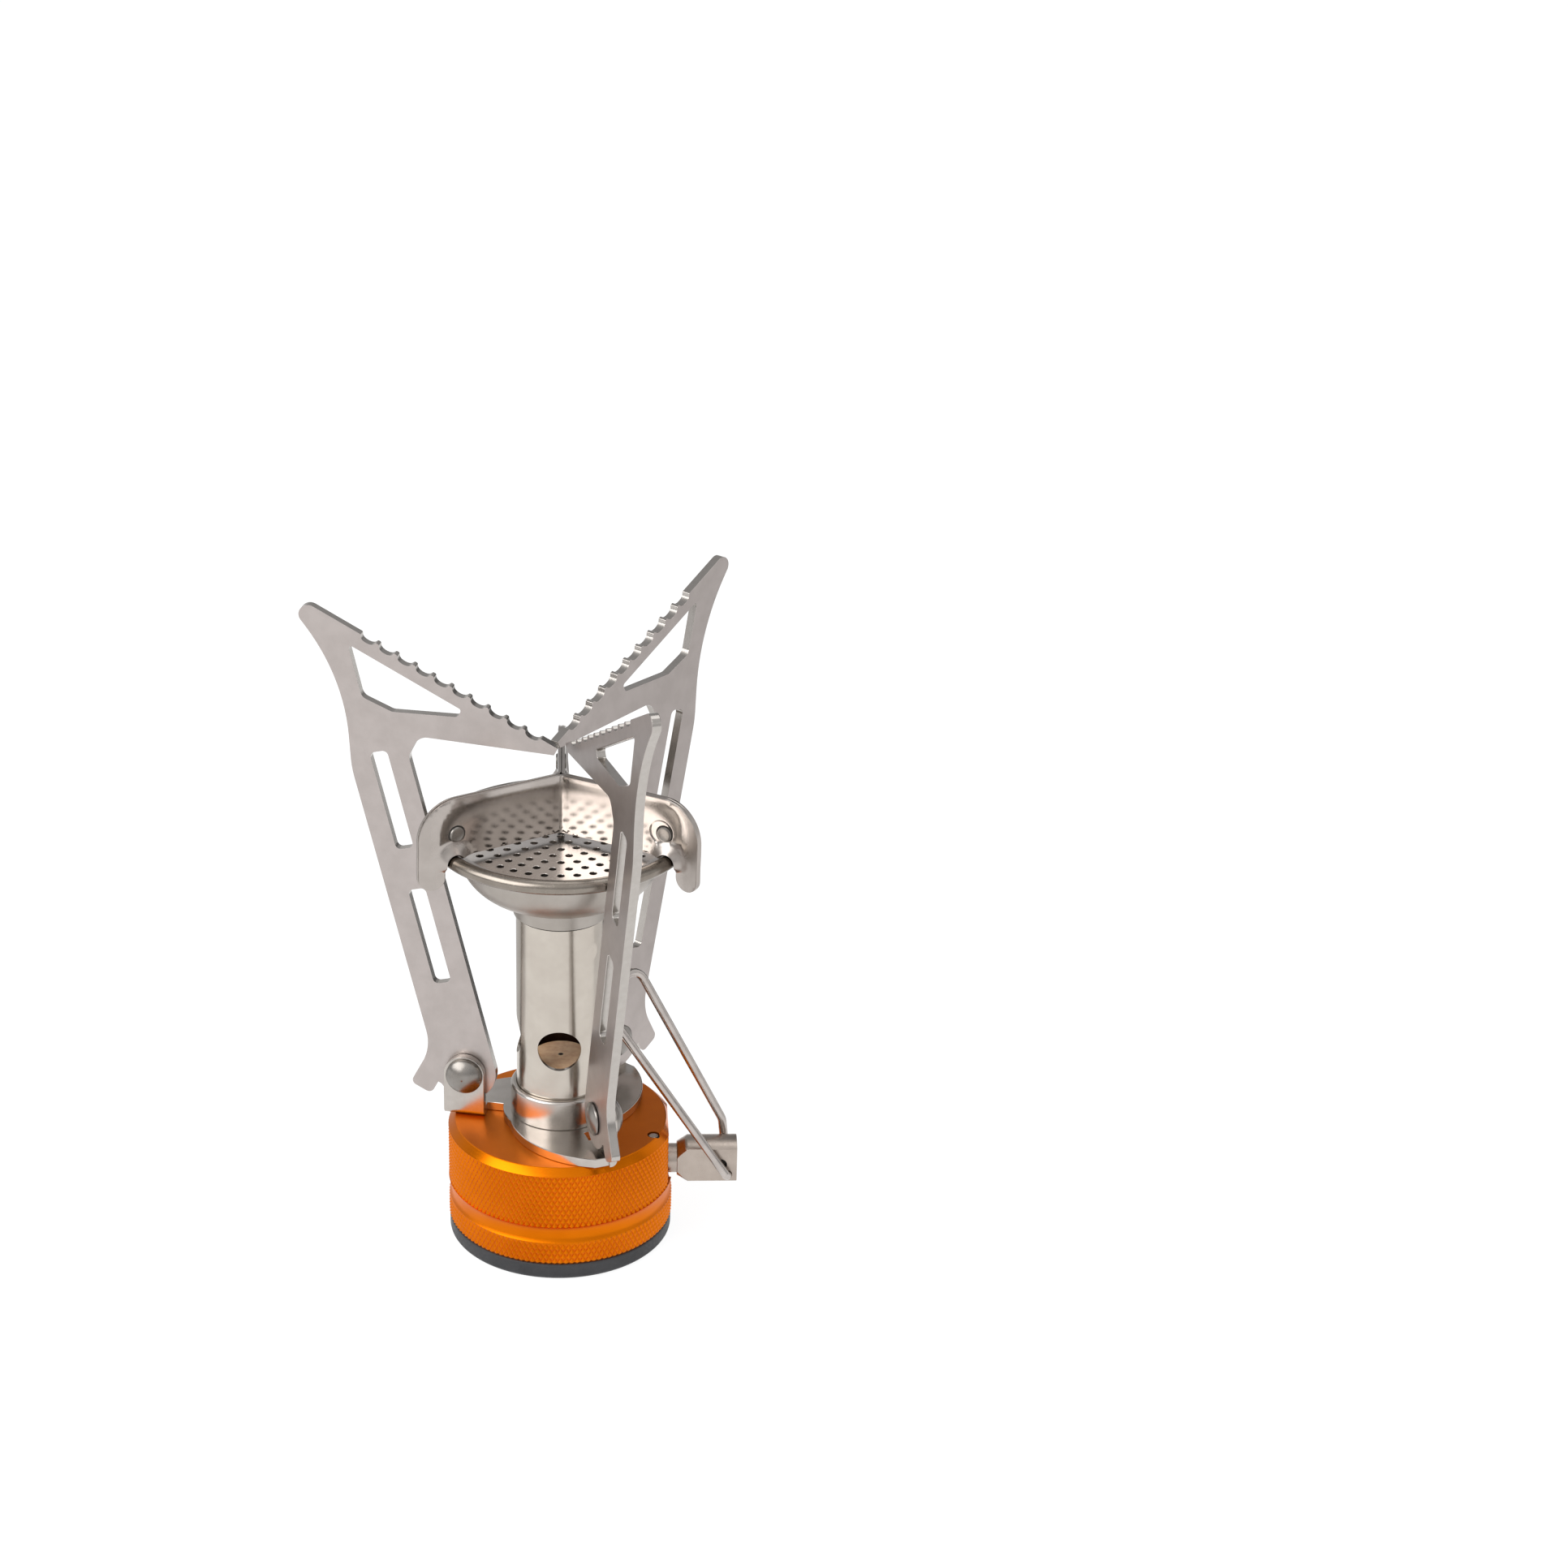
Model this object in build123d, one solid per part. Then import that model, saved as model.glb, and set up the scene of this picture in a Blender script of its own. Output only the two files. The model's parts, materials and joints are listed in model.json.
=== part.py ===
from build123d import *
import math
import os

# Folding camping stove that screws on a gas canister.
# Millimetres and degrees. +Z runs up the burner axis, +X towards the valve knob,
# and the origin is on the burner axis at the mouth of the canister socket.

# Clearances
seat_gap = 0.05
running_gap = 0.05
arm_side_gap = 0.1
tail_gap = 0.15
leg_side_gap = 0.15
plate_gap = 0.15
rim_gap = 0.2

# Base
base_radius = 19.0
base_roof = 4.0
base_chamfer = 1.2
base_edge_break = 0.4
lower_band = 3.9
waist_width = 3.3
waist_depth = 0.6
valve_flat_depth = 0.8
ring_height = 3.0
ring_inset = 0.15
ring_inner_radius = 12.5
ring_round = 0.6
pin_edge_distance = 1.9
pin_azimuth = -24.5
pin_radius = 1.1
pin_length = 6.0
pin_recess = 0.3

# Valve block and canister socket
block_radius = 8.0
block_floor = 0.8
block_roof = 1.2
block_edge_break = 0.5
neck_radius = 4.0
neck_length = 9.0
socket_radius = 5.1
socket_length = 5.5
seal_room_radius = 5.4
seal_room_height = 2.7
seal_ring_radius = 3.9
seal_section_radius = 0.8
depressor_radius = 1.1
depressor_length = 2.5
depressor_stem_radius = 0.8
depressor_stem_length = 1.6
gas_bore_radius = 1.0
inlet_bore_radius = 0.7
inlet_offset = 0.3
seat_bore_radius = 1.2
chamber_x = 4.2

# Needle valve along +X
gland_radius = 3.4
gland_grip = 1.0
gland_recess = 0.2
spindle_radius = 2.5
spindle_reach = 1.6
stem_radius = 1.5
needle_tip_reach = 1.2
needle_tip_radius = 0.25
needle_length = 2.2
spindle_seal_offset = 0.9
spindle_seal_section = 0.75
tenon_radius = 1.6
tenon_length = 9.0

# Knob on the end of the spindle
knob_length = 10.2
knob_radius = 4.0
knob_flat = 2.6
knob_nose_radius = 2.9
knob_nose_length = 1.8
knob_pin_offset = 7.4
knob_pin_radius = 1.0
knob_pin_recess = 0.5

# Wire handle, folded up beside the burner
wire_radius = 0.75
handle_pivot_inset = 1.6
handle_pivot_drop = 1.9
handle_stub_depth = 1.0
handle_hole_floor = 0.1
handle_stub_bend = 0.8
handle_end_bend = 3.0
front_leg_tube_gap = 1.5
front_leg_rise = 30.0
back_leg_tube_gap = 3.6
back_leg_rise = 40.1
back_leg_kink = (0.8, 7.5)

# Arm bracket: a plate with three lobes, each with one ear bent up
arm_count = 3
arm_first_azimuth = 47.5
bracket_thickness = 1.6
bracket_hub_radius = 9.7
lobe_start_x = 2.0
lobe_belly = (2.9, -6.9)
lobe_strip_edge = 1.0
lobe_strip_overlap = 1.0
ear_back = 3.4
ear_front = 3.6
ear_thickness = 1.3
ear_bend_radius = 1.0

# Pivot of each arm
pivot_inset = 5.5
pivot_rise = 6.0
rivet_shaft_radius = 1.6
rivet_head_radius = 3.1
rivet_head_height = 1.9
rivet_head_rim = 0.5
rivet_tail_radius = 2.8
rivet_tail_height = 1.1
rivet_tail_rim = 0.3

# Pot support arm, drawn open, with its toothed edge level and the pivot at the origin
arm_thickness = 1.5
arm_offset = 1.5
arm_eye_radius = 5.1
pot_clearance = 5.65
arm_inner_end = 14.2
arm_tip_stop = 0.04
arm_beak = 1.35
tip_reach = 19.4
tip_width = 2.7
tip_top_round = 1.7
tip_low_round = 1.5
stem_angle = 48.4
stem_outer = 4.9
stem_bend_drop = 21.7
stem_bend_round = 18.0
stem_neck = (11.2, 8.1)
stem_neck_round = 34.0
stem_foot_round = 8.5
wing_drop = 10.6
wing_notch = 4.0
wing_notch_round = 2.2
tail_outer = 7.2
tail_inner = 3.2
tail_bottom = 7.1
tail_notch = 4.4
tail_round = 1.0
tooth_count = 10
tooth_pitch = 3.37
tooth_first = 2.9
tooth_cut_radius = 1.15
tooth_cut_lift = 0.3
tooth_round = 0.45
slot_width = 3.0
slot_side = 0.25
slot_length = 17.4
slot_round = 0.9
slot_starts = (16.9, 41.7)
window_bar = 2.65
window_inner_shift = 3.8
window_inner_drop = 1.45
window_outer = 9.3
window_low_inner = (20.7, 9.2)
window_low_outer = (15.3, 9.6)
window_inner_round = 0.5
window_outer_round = 0.4
window_low_round = 1.7

# Mixing tube, collar and jet
tube_radius = 7.4
tube_wall = 0.7
air_hole_radius = 3.6
air_hole_rise = 14.4
air_hole_count = 4
air_hole_first_azimuth = 268.0
collar_wall = 0.95
collar_height = 5.3
collar_chamfer = 0.35
jet_radius = 4.8
jet_height = 10.0
jet_orifice_radius = 0.25
jet_face = 1.0

# Burner head
cup_rise = 36.9
cup_wall = 0.4
cup_neck_height = 3.3
cup_shoulder = 0.15
cup_flare_radius = 9.0
cup_flange_width = 3.1
bead_section = 1.2
bead_rise = 0.15
plate_wall = 0.6
plate_rim_width = 1.85
plate_rim_rise = 0.6
flame_hole_radius = 0.62
flame_margin = 1.9
flame_ring_count = 6
holes_per_ring_step = 6

# Windshield: three V-bent panels back to back, hooked over the rim of the cup
wing_first_azimuth = 90.0
sheet = 0.5
sheet_gap = 0.05
wing_height = 10.15
wing_lift = 0.7
wing_corner_radius = 6.8
wing_overhang = 5.7
wing_ear_drop = 4.4
saddle_gap = 0.1
saddle_round = 1.0
saddle_land = 0.3
saddle_inner_angle = 140.0
saddle_skirt = 2.4
wing_rivet_radius = 0.8
wing_rivet_head_radius = 1.4
wing_rivet_head_height = 0.45
wing_rivet_head_rim = 0.15
wing_rivet_inset = 0.7
wing_rivet_rise = 4.0

# Heights that follow from the ones above, from the socket up
sector = 360.0 / arm_count
seal_room_top = socket_length + seal_room_height
valve_z = seal_room_top + block_floor + gland_radius
block_top = valve_z + gland_radius + block_roof
base_top = block_top + base_roof
waist_low = ring_height + lower_band
waist_high = waist_low + waist_width
bracket_top = base_top + bracket_thickness
neck_top = block_top + neck_length
pivot_z = bracket_top + pivot_rise
jet_top = bracket_top + jet_height
air_hole_z = bracket_top + air_hole_rise
cup_neck_low = bracket_top + cup_rise
cup_flare_low = cup_neck_low + cup_neck_height
cup_flare_z = cup_flare_low + cup_flare_radius
tube_top = cup_flare_low + cup_wall
flange_slope = plate_rim_rise / plate_rim_width
flange_wall = cup_wall * math.hypot(1, flange_slope)
bead_z = cup_flare_z + cup_flange_width * flange_slope + flange_wall / 2 + bead_rise
wing_bottom = bead_z + wing_lift
wing_top = wing_bottom + wing_height
ear_tip_z = bead_z - wing_ear_drop

# Radii and places that follow from the ones above
spindle_bore = spindle_radius + running_gap
tube_inner_radius = tube_radius - tube_wall
cup_neck_inner = tube_radius + seat_gap
cup_flare_start = cup_neck_inner + cup_wall + cup_shoulder
cup_mouth_radius = cup_flare_start + cup_flare_radius
bead_centre_radius = cup_mouth_radius + cup_flange_width
plate_rim_radius = bead_centre_radius - bead_section - plate_gap
plate_flat_radius = plate_rim_radius - plate_rim_width
plate_low = cup_flare_z + (plate_flat_radius - cup_mouth_radius) * flange_slope + flange_wall + seat_gap
plate_z = plate_low + plate_wall
flame_ring_step = (plate_flat_radius - flame_margin) / flame_ring_count
bead_hole = bead_section + saddle_gap
wing_outer = bead_centre_radius + wing_overhang
wing_rivet_place = (bead_centre_radius - wing_rivet_inset, wing_bottom + wing_rivet_rise)
pivot_radius = bead_centre_radius + bead_section - pivot_inset
ear_inner = pivot_radius - ear_back
ear_outer = pivot_radius + ear_front
ear_inside = arm_offset + arm_thickness / 2 + arm_side_gap
ear_outside = ear_inside + ear_thickness
lobe_end = pivot_radius + tail_inner - tail_gap
pin_place_radius = base_radius - pin_edge_distance
valve_flat_x = base_radius - valve_flat_depth
gland_start_x = block_radius - gland_grip
knob_start_x = valve_flat_x + spindle_reach
knob_end_x = knob_start_x + knob_length
knob_pin_x = knob_start_x + knob_pin_offset
handle_pivot_x = knob_end_x - handle_pivot_inset
handle_pivot_z = valve_z - handle_pivot_drop
leg_y = knob_flat + leg_side_gap + wire_radius

# Folded in, each arm leans until it meets the rim of the cup, or until its inner end stops
# just short of the burner axis
arm_edge_height = wing_top + pot_clearance - pivot_z
arm_reach = math.hypot(arm_inner_end, arm_edge_height)
axis_tilt = math.degrees(
    math.acos((arm_tip_stop - pivot_radius) / arm_reach) - math.atan2(arm_edge_height, arm_inner_end)
)
rim_offset = (bead_centre_radius - pivot_radius, bead_z - pivot_z)
rim_turn = math.asin((arm_eye_radius + bead_section + rim_gap) / math.hypot(*rim_offset))
rim_tilt = math.degrees(math.atan2(rim_offset[1], rim_offset[0]) - rim_turn) - stem_angle
arm_rest_tilt = min(axis_tilt, rim_tilt)


def ring_points(radius, count, first=0.0):
    return [
        (
            radius * math.cos(math.radians(first + 360.0 * i / count)),
            radius * math.sin(math.radians(first + 360.0 * i / count)),
        )
        for i in range(count)
    ]


def turned(points):
    # Solid of revolution about Z from a closed (radius, z) outline
    return revolve(Plane.XZ * make_face(Polyline(*points, close=True)), Axis.Z)


def turned_x(points):
    # Solid of revolution about the valve axis from a closed (x, radius) outline
    outline = make_face(Polyline(*[(x, valve_z + r) for x, r in points], close=True))
    return revolve(Plane.XZ * outline, Axis((0, 0, valve_z), (1, 0, 0)))


def rod(start, end, radius):
    line = Line(start, end)
    return sweep(Plane(line @ 0, z_dir=line % 0) * Circle(radius), path=line)


def along_arm(shape, index):
    return Rot(0, 0, arm_first_azimuth + sector * index) * shape


def base_housing():
    bore = block_radius + seat_gap
    neck_bore = neck_radius + seat_gap
    waist_radius = base_radius - waist_depth
    body = turned([
        (bore, ring_height),
        (base_radius - base_edge_break, ring_height),
        (base_radius, ring_height + base_edge_break),
        (base_radius, waist_low),
        (waist_radius, waist_low + waist_depth),
        (waist_radius, waist_high - waist_depth),
        (base_radius, waist_high),
        (base_radius, base_top - base_chamfer),
        (base_radius - base_chamfer, base_top),
        (neck_bore, base_top),
        (neck_bore, block_top + seat_gap),
        (bore, block_top + seat_gap),
    ])
    flat_height = base_top - waist_high
    flat = Pos(valve_flat_x + base_radius / 2, 0, waist_high + flat_height / 2) * Box(
        base_radius, 2 * base_radius, flat_height
    )
    gland_bore = rod((0, 0, valve_z), (base_radius, 0, valve_z), gland_radius + seat_gap)
    pin_place = ring_points(pin_place_radius, 1, pin_azimuth)[0]
    pin_floor = base_top - pin_recess - pin_length
    pin_hole = rod((*pin_place, pin_floor), (*pin_place, base_top), pin_radius + seat_gap)
    return body - flat - gland_bore - pin_hole


def base_ring():
    outer = base_radius - ring_inset
    body = turned([
        (ring_inner_radius, 0),
        (outer - ring_round, 0),
        (outer, ring_round),
        (outer, ring_height),
        (ring_inner_radius, ring_height),
    ])
    return body


def housing_pin():
    x, y = ring_points(pin_place_radius, 1, pin_azimuth)[0]
    top = base_top - pin_recess
    return rod((x, y, top - pin_length), (x, y, top), pin_radius)


def valve_block():
    body = turned([
        (socket_radius, 0),
        (block_radius - block_edge_break, 0),
        (block_radius, block_edge_break),
        (block_radius, block_top),
        (neck_radius, block_top),
        (neck_radius, neck_top),
        (0, neck_top),
        (0, seal_room_top),
        (seal_room_radius, seal_room_top),
        (seal_room_radius, socket_length),
        (socket_radius, socket_length),
    ])
    inlet_x = chamber_x + inlet_offset
    stem_top = seal_room_top + depressor_stem_length + seat_gap
    stem_hole = rod((0, 0, seal_room_top), (0, 0, stem_top), depressor_stem_radius + seat_gap)
    inlet = rod((inlet_x, 0, seal_room_top), (inlet_x, 0, valve_z), inlet_bore_radius)
    outlet = rod((0, 0, valve_z), (0, 0, neck_top), gas_bore_radius)
    seat = rod((0, 0, valve_z), (chamber_x, 0, valve_z), seat_bore_radius)
    chamber = rod((chamber_x, 0, valve_z), (base_radius, 0, valve_z), gland_radius + seat_gap)
    return body - stem_hole - inlet - outlet - seat - chamber


def canister_seal():
    z = seal_room_top - seal_section_radius - seat_gap
    return Pos(0, 0, z) * Torus(seal_ring_radius, seal_section_radius)


def depressor_pin():
    head = rod((0, 0, seal_room_top - depressor_length), (0, 0, seal_room_top), depressor_radius)
    stem_top = seal_room_top + depressor_stem_length
    return head + rod((0, 0, seal_room_top), (0, 0, stem_top), depressor_stem_radius)


def gland_nut():
    outer_end = valve_flat_x - gland_recess
    return turned_x([
        (gland_start_x, spindle_bore),
        (gland_start_x, gland_radius),
        (outer_end, gland_radius),
        (outer_end, spindle_bore),
    ])


def spindle_seal():
    middle = (stem_radius + gland_radius) / 2
    x = gland_start_x - spindle_seal_offset
    return Pos(x, 0, valve_z) * Rot(0, 90, 0) * Torus(middle, spindle_seal_section)


def valve_spindle():
    shoulder = gland_start_x + 2 * seat_gap
    needle_tip_x = chamber_x - needle_tip_reach
    needle_end = needle_tip_x + needle_length
    body = turned_x([
        (needle_tip_x, 0),
        (needle_tip_x, needle_tip_radius),
        (needle_end, stem_radius),
        (shoulder, stem_radius),
        (shoulder, spindle_radius),
        (knob_start_x, spindle_radius),
        (knob_start_x, tenon_radius),
        (knob_start_x + tenon_length, tenon_radius),
        (knob_start_x + tenon_length, 0),
    ])
    return body - knob_pin_hole()


def knob_pin_hole():
    return rod(
        (knob_pin_x, -knob_radius, valve_z),
        (knob_pin_x, knob_radius, valve_z),
        knob_pin_radius + seat_gap,
    )


def knob_pin():
    half = knob_flat - knob_pin_recess
    return rod((knob_pin_x, -half, valve_z), (knob_pin_x, half, valve_z), knob_pin_radius)


def valve_knob():
    bore = tenon_radius + seat_gap
    floor = knob_start_x + tenon_length + seat_gap
    body = turned_x([
        (knob_start_x, bore),
        (knob_start_x, knob_nose_radius),
        (knob_start_x + knob_nose_length, knob_radius),
        (knob_end_x, knob_radius),
        (knob_end_x, 0),
        (floor, 0),
        (floor, bore),
    ])
    middle_x = (knob_start_x + knob_end_x) / 2
    body = body & Pos(middle_x, 0, valve_z) * Box(2 * knob_length, 2 * knob_flat, 4 * knob_radius)
    body -= knob_pin_hole()
    for side in (-1, 1):
        floor_y = side * (knob_flat - handle_stub_depth - handle_hole_floor)
        body -= rod(
            (handle_pivot_x, floor_y, handle_pivot_z),
            (handle_pivot_x, side * knob_radius, handle_pivot_z),
            wire_radius + running_gap,
        )
    return body


def valve_handle():
    stub_y = knob_flat - handle_stub_depth
    kink_x, kink_z = back_leg_kink
    route = FilletPolyline(
        (handle_pivot_x, -stub_y, handle_pivot_z),
        (handle_pivot_x, -leg_y, handle_pivot_z),
        (tube_radius + front_leg_tube_gap, -leg_y, handle_pivot_z + front_leg_rise),
        (tube_radius + back_leg_tube_gap, leg_y, handle_pivot_z + back_leg_rise),
        (handle_pivot_x - kink_x, leg_y, handle_pivot_z + kink_z),
        (handle_pivot_x, leg_y, handle_pivot_z),
        (handle_pivot_x, stub_y, handle_pivot_z),
        radius=[handle_stub_bend, handle_end_bend, handle_end_bend, handle_end_bend, handle_stub_bend],
    )
    return sweep(Plane(route @ 0, z_dir=route % 0) * Circle(wire_radius), path=route)


def bracket_lobe():
    lobe_start = (lobe_start_x, -math.sqrt(bracket_hub_radius**2 - lobe_start_x**2))
    strip_join = math.sqrt(bracket_hub_radius**2 - lobe_strip_edge**2) - lobe_strip_overlap
    belly = (pivot_radius - lobe_belly[0], lobe_belly[1])
    edge = [
        ThreePointArc(lobe_start, belly, (lobe_end, 0)),
        Polyline(
            (lobe_end, 0),
            (lobe_end, ear_inside),
            (ear_outer, ear_inside),
            (ear_outer, ear_outside),
            (ear_inner, ear_outside),
            (ear_inner, lobe_strip_edge),
            (strip_join, lobe_strip_edge),
            (0, 0),
            lobe_start,
        ),
    ]
    plate = extrude(Pos(0, 0, base_top) * make_face(edge), amount=bracket_thickness)
    middle = (ear_inner + ear_outer) / 2
    half = (ear_outer - ear_inner) / 2
    upright = Pos(middle, (base_top + pivot_z) / 2) * Rectangle(2 * half, pivot_z - base_top)
    outline = upright + Pos(middle, pivot_z) * Circle(half)
    outline -= Pos(pivot_radius, pivot_z) * Circle(rivet_shaft_radius + seat_gap)
    ear = Pos(0, ear_outside, 0) * extrude(Plane.XZ * outline, amount=ear_thickness)
    lobe = plate + ear
    bend = [
        e
        for e in lobe.edges().filter_by(Axis.X)
        if abs(e.center().Y - ear_outside) < seat_gap and abs(e.center().Z - base_top) < seat_gap
    ]
    return fillet(bend, ear_bend_radius)


def arm_bracket():
    hub = Pos(0, 0, base_top + bracket_thickness / 2) * Cylinder(bracket_hub_radius, bracket_thickness)
    plate = hub
    for i in range(arm_count):
        plate += along_arm(bracket_lobe(), i)
    neck_hole = rod((0, 0, base_top), (0, 0, bracket_top), neck_radius + seat_gap)
    return plate - neck_hole


def stem_point(distance, side):
    # Point at a distance up the stem from the pivot, and to its inner side
    a = math.radians(stem_angle)
    return (
        distance * math.cos(a) - side * math.sin(a),
        distance * math.sin(a) + side * math.cos(a),
    )


def stem_point_at(height, side):
    # Point of the stem's edge at a height over the pivot
    a = math.radians(stem_angle)
    return stem_point((height - side * math.cos(a)) / math.sin(a), side)


def stem_bend():
    return stem_point_at(arm_edge_height - stem_bend_drop, -stem_outer)


def from_tip(place):
    # Point given by how far it lies back from the arm's outer end and below its toothed edge
    back, drop = place
    return (stem_bend()[0] + tip_reach - back, arm_edge_height - drop)


def wing_root():
    notch_foot = stem_point_at(arm_edge_height - wing_drop - wing_notch, arm_eye_radius)
    return notch_foot, (notch_foot[0], arm_edge_height - wing_drop)


def rounded_outline(corners):
    # Face with the given corners, each a place and the radius that rounds it
    face = make_face(Polyline(*[place for place, radius in corners], close=True))
    for place, radius in corners:
        if radius:
            face = fillet(face.vertices().sort_by_distance(place)[0], radius)
    return face


def toothed(shape):
    # Cuts the teeth and rounds their crests, as the ends of flat lands along the edge
    first = arm_inner_end + tooth_first
    for i in range(tooth_count):
        place = (first + tooth_pitch * (i + 0.5), arm_edge_height + tooth_cut_lift)
        shape -= Pos(*place) * Circle(tooth_cut_radius)
    last = first + tooth_pitch * tooth_count
    crests = [
        v
        for v in shape.vertices()
        if first < v.X < last and abs(v.Y - arm_edge_height) < tooth_cut_lift / 2
    ]
    return fillet(crests, tooth_round)


def arm_outline():
    a = math.radians(stem_angle)
    foot_distance = (tail_outer - stem_outer * math.sin(a)) / math.cos(a)
    notch_foot, notch_top = wing_root()
    blade = rounded_outline([
        (stem_point(0, arm_eye_radius), 0),
        (notch_foot, wing_notch_round),
        (notch_top, wing_notch_round),
        ((arm_inner_end, arm_edge_height - arm_beak), 0),
        ((arm_inner_end, arm_edge_height), 0),
        (from_tip((0, 0)), tip_top_round),
        (from_tip((0, tip_width)), tip_low_round),
        (from_tip(stem_neck), stem_neck_round),
        (stem_bend(), stem_bend_round),
        (stem_point(foot_distance, -stem_outer), stem_foot_round),
        ((tail_outer, -tail_notch), 0),
        ((0, -tail_notch), 0),
        ((0, 0), 0),
    ])
    tail = rounded_outline([
        ((tail_inner, 0), 0),
        ((tail_inner, -tail_bottom), tail_round),
        ((tail_outer, -tail_bottom), tail_round),
        ((tail_outer, -tail_notch), 0),
        ((tail_outer - tail_round, 0), 0),
    ])
    return toothed(Circle(arm_eye_radius) + blade + tail)


def arm_cuts():
    cuts = []
    for start in slot_starts:
        centre = stem_point(start + slot_length / 2, slot_side)
        slot = RectangleRounded(slot_length, slot_width, slot_round)
        cuts.append(Pos(*centre) * Rot(0, 0, stem_angle) * slot)
    window_top = arm_edge_height - window_bar
    window_inner = wing_root()[1][0] - window_inner_shift
    cuts.append(rounded_outline([
        ((window_inner, window_top), window_inner_round),
        (from_tip((window_outer, window_bar)), window_outer_round),
        (from_tip(window_low_outer), window_low_round),
        (from_tip(window_low_inner), window_low_round),
        ((window_inner, window_top - window_inner_drop), window_inner_round),
    ]))
    cuts.append(Circle(rivet_shaft_radius + running_gap))
    return cuts


def pot_arm():
    shape = arm_outline()
    for cut in arm_cuts():
        shape -= cut
    face_y = arm_offset + arm_thickness / 2
    plate = Pos(0, face_y, 0) * extrude(Plane.XZ * shape, amount=arm_thickness)
    return Pos(pivot_radius, 0, pivot_z) * Rot(0, -arm_rest_tilt, 0) * plate


def dome(radius, height, rim):
    # Button head with its flat side on z = 0: a short rim under a spherical cap
    rise = height - rim
    ball_radius = (radius**2 + rise**2) / (2 * rise)
    half_angle = math.asin(radius / ball_radius) / 2
    middle = (ball_radius * math.sin(half_angle), height - ball_radius * (1 - math.cos(half_angle)))
    return revolve(
        Plane.XZ * make_face([
            Polyline((0, height), (0, 0), (radius, 0), (radius, rim)),
            ThreePointArc((radius, rim), middle, (0, height)),
        ]),
        Axis.Z,
    )


def arm_rivet():
    inner_face = arm_offset - arm_thickness / 2 - arm_side_gap
    shaft = rod(
        (pivot_radius, inner_face, pivot_z), (pivot_radius, ear_outside, pivot_z), rivet_shaft_radius
    )
    head = Pos(pivot_radius, ear_outside, pivot_z) * Rot(-90, 0, 0) * dome(
        rivet_head_radius, rivet_head_height, rivet_head_rim
    )
    tail = Pos(pivot_radius, inner_face, pivot_z) * Rot(90, 0, 0) * dome(
        rivet_tail_radius, rivet_tail_height, rivet_tail_rim
    )
    return shaft + head + tail


def tube_collar():
    inner = tube_radius + seat_gap
    outer = inner + collar_wall
    top = bracket_top + collar_height
    return turned([
        (inner, bracket_top),
        (outer, bracket_top),
        (outer, top - collar_chamfer),
        (outer - collar_chamfer, top),
        (inner, top),
    ])


def mixing_tube():
    tube = turned([
        (tube_inner_radius, bracket_top),
        (tube_radius, bracket_top),
        (tube_radius, tube_top),
        (tube_inner_radius, tube_top),
    ])
    for x, y in ring_points(2 * tube_radius, air_hole_count, air_hole_first_azimuth):
        tube -= rod((0, 0, air_hole_z), (x, y, air_hole_z), air_hole_radius)
    return tube


def jet():
    bore = neck_radius + seat_gap
    chamber = neck_top + seat_gap
    return turned([
        (bore, bracket_top),
        (jet_radius, bracket_top),
        (jet_radius, jet_top),
        (jet_orifice_radius, jet_top),
        (jet_orifice_radius, jet_top - jet_face),
        (gas_bore_radius, jet_top - jet_face),
        (gas_bore_radius, chamber),
        (bore, chamber),
    ])


def burner_cup():
    neck_outer = cup_neck_inner + cup_wall
    inner_arc = cup_flare_radius - cup_wall
    low_inner = cup_flare_z - inner_arc
    mouth_inner = cup_mouth_radius - cup_wall
    flange_end = cup_flare_z + cup_flange_width * flange_slope
    half = math.sqrt(0.5)
    wall = make_face([
        Polyline(
            (cup_flare_start, low_inner),
            (cup_neck_inner, low_inner),
            (cup_neck_inner, cup_neck_low),
            (neck_outer, cup_neck_low),
            (neck_outer, cup_flare_low),
            (cup_flare_start, cup_flare_low),
        ),
        ThreePointArc(
            (cup_flare_start, cup_flare_low),
            (cup_flare_start + cup_flare_radius * half, cup_flare_z - cup_flare_radius * half),
            (cup_mouth_radius, cup_flare_z),
        ),
        Polyline(
            (cup_mouth_radius, cup_flare_z),
            (bead_centre_radius, flange_end),
            (bead_centre_radius, flange_end + flange_wall),
            (mouth_inner, cup_flare_z + flange_wall - cup_wall * flange_slope),
            (mouth_inner, cup_flare_z),
        ),
        ThreePointArc(
            (mouth_inner, cup_flare_z),
            (cup_flare_start + inner_arc * half, cup_flare_z - inner_arc * half),
            (cup_flare_start, low_inner),
        ),
    ])
    bead = Pos(0, 0, bead_z) * Torus(bead_centre_radius, bead_section)
    return revolve(Plane.XZ * wall, Axis.Z) + bead


def burner_plate():
    disc = turned([
        (0, plate_low),
        (plate_flat_radius, plate_low),
        (plate_rim_radius, plate_low + plate_rim_rise),
        (plate_rim_radius, plate_z + plate_rim_rise),
        (plate_flat_radius, plate_z),
        (0, plate_z),
    ])
    places = [(0, 0)]
    for ring in range(1, flame_ring_count + 1):
        places += ring_points(flame_ring_step * ring, holes_per_ring_step * ring)
    holes = Sketch() + [Pos(x, y, plate_low) * Circle(flame_hole_radius) for x, y in places]
    return disc - extrude(holes, amount=plate_wall)


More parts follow.
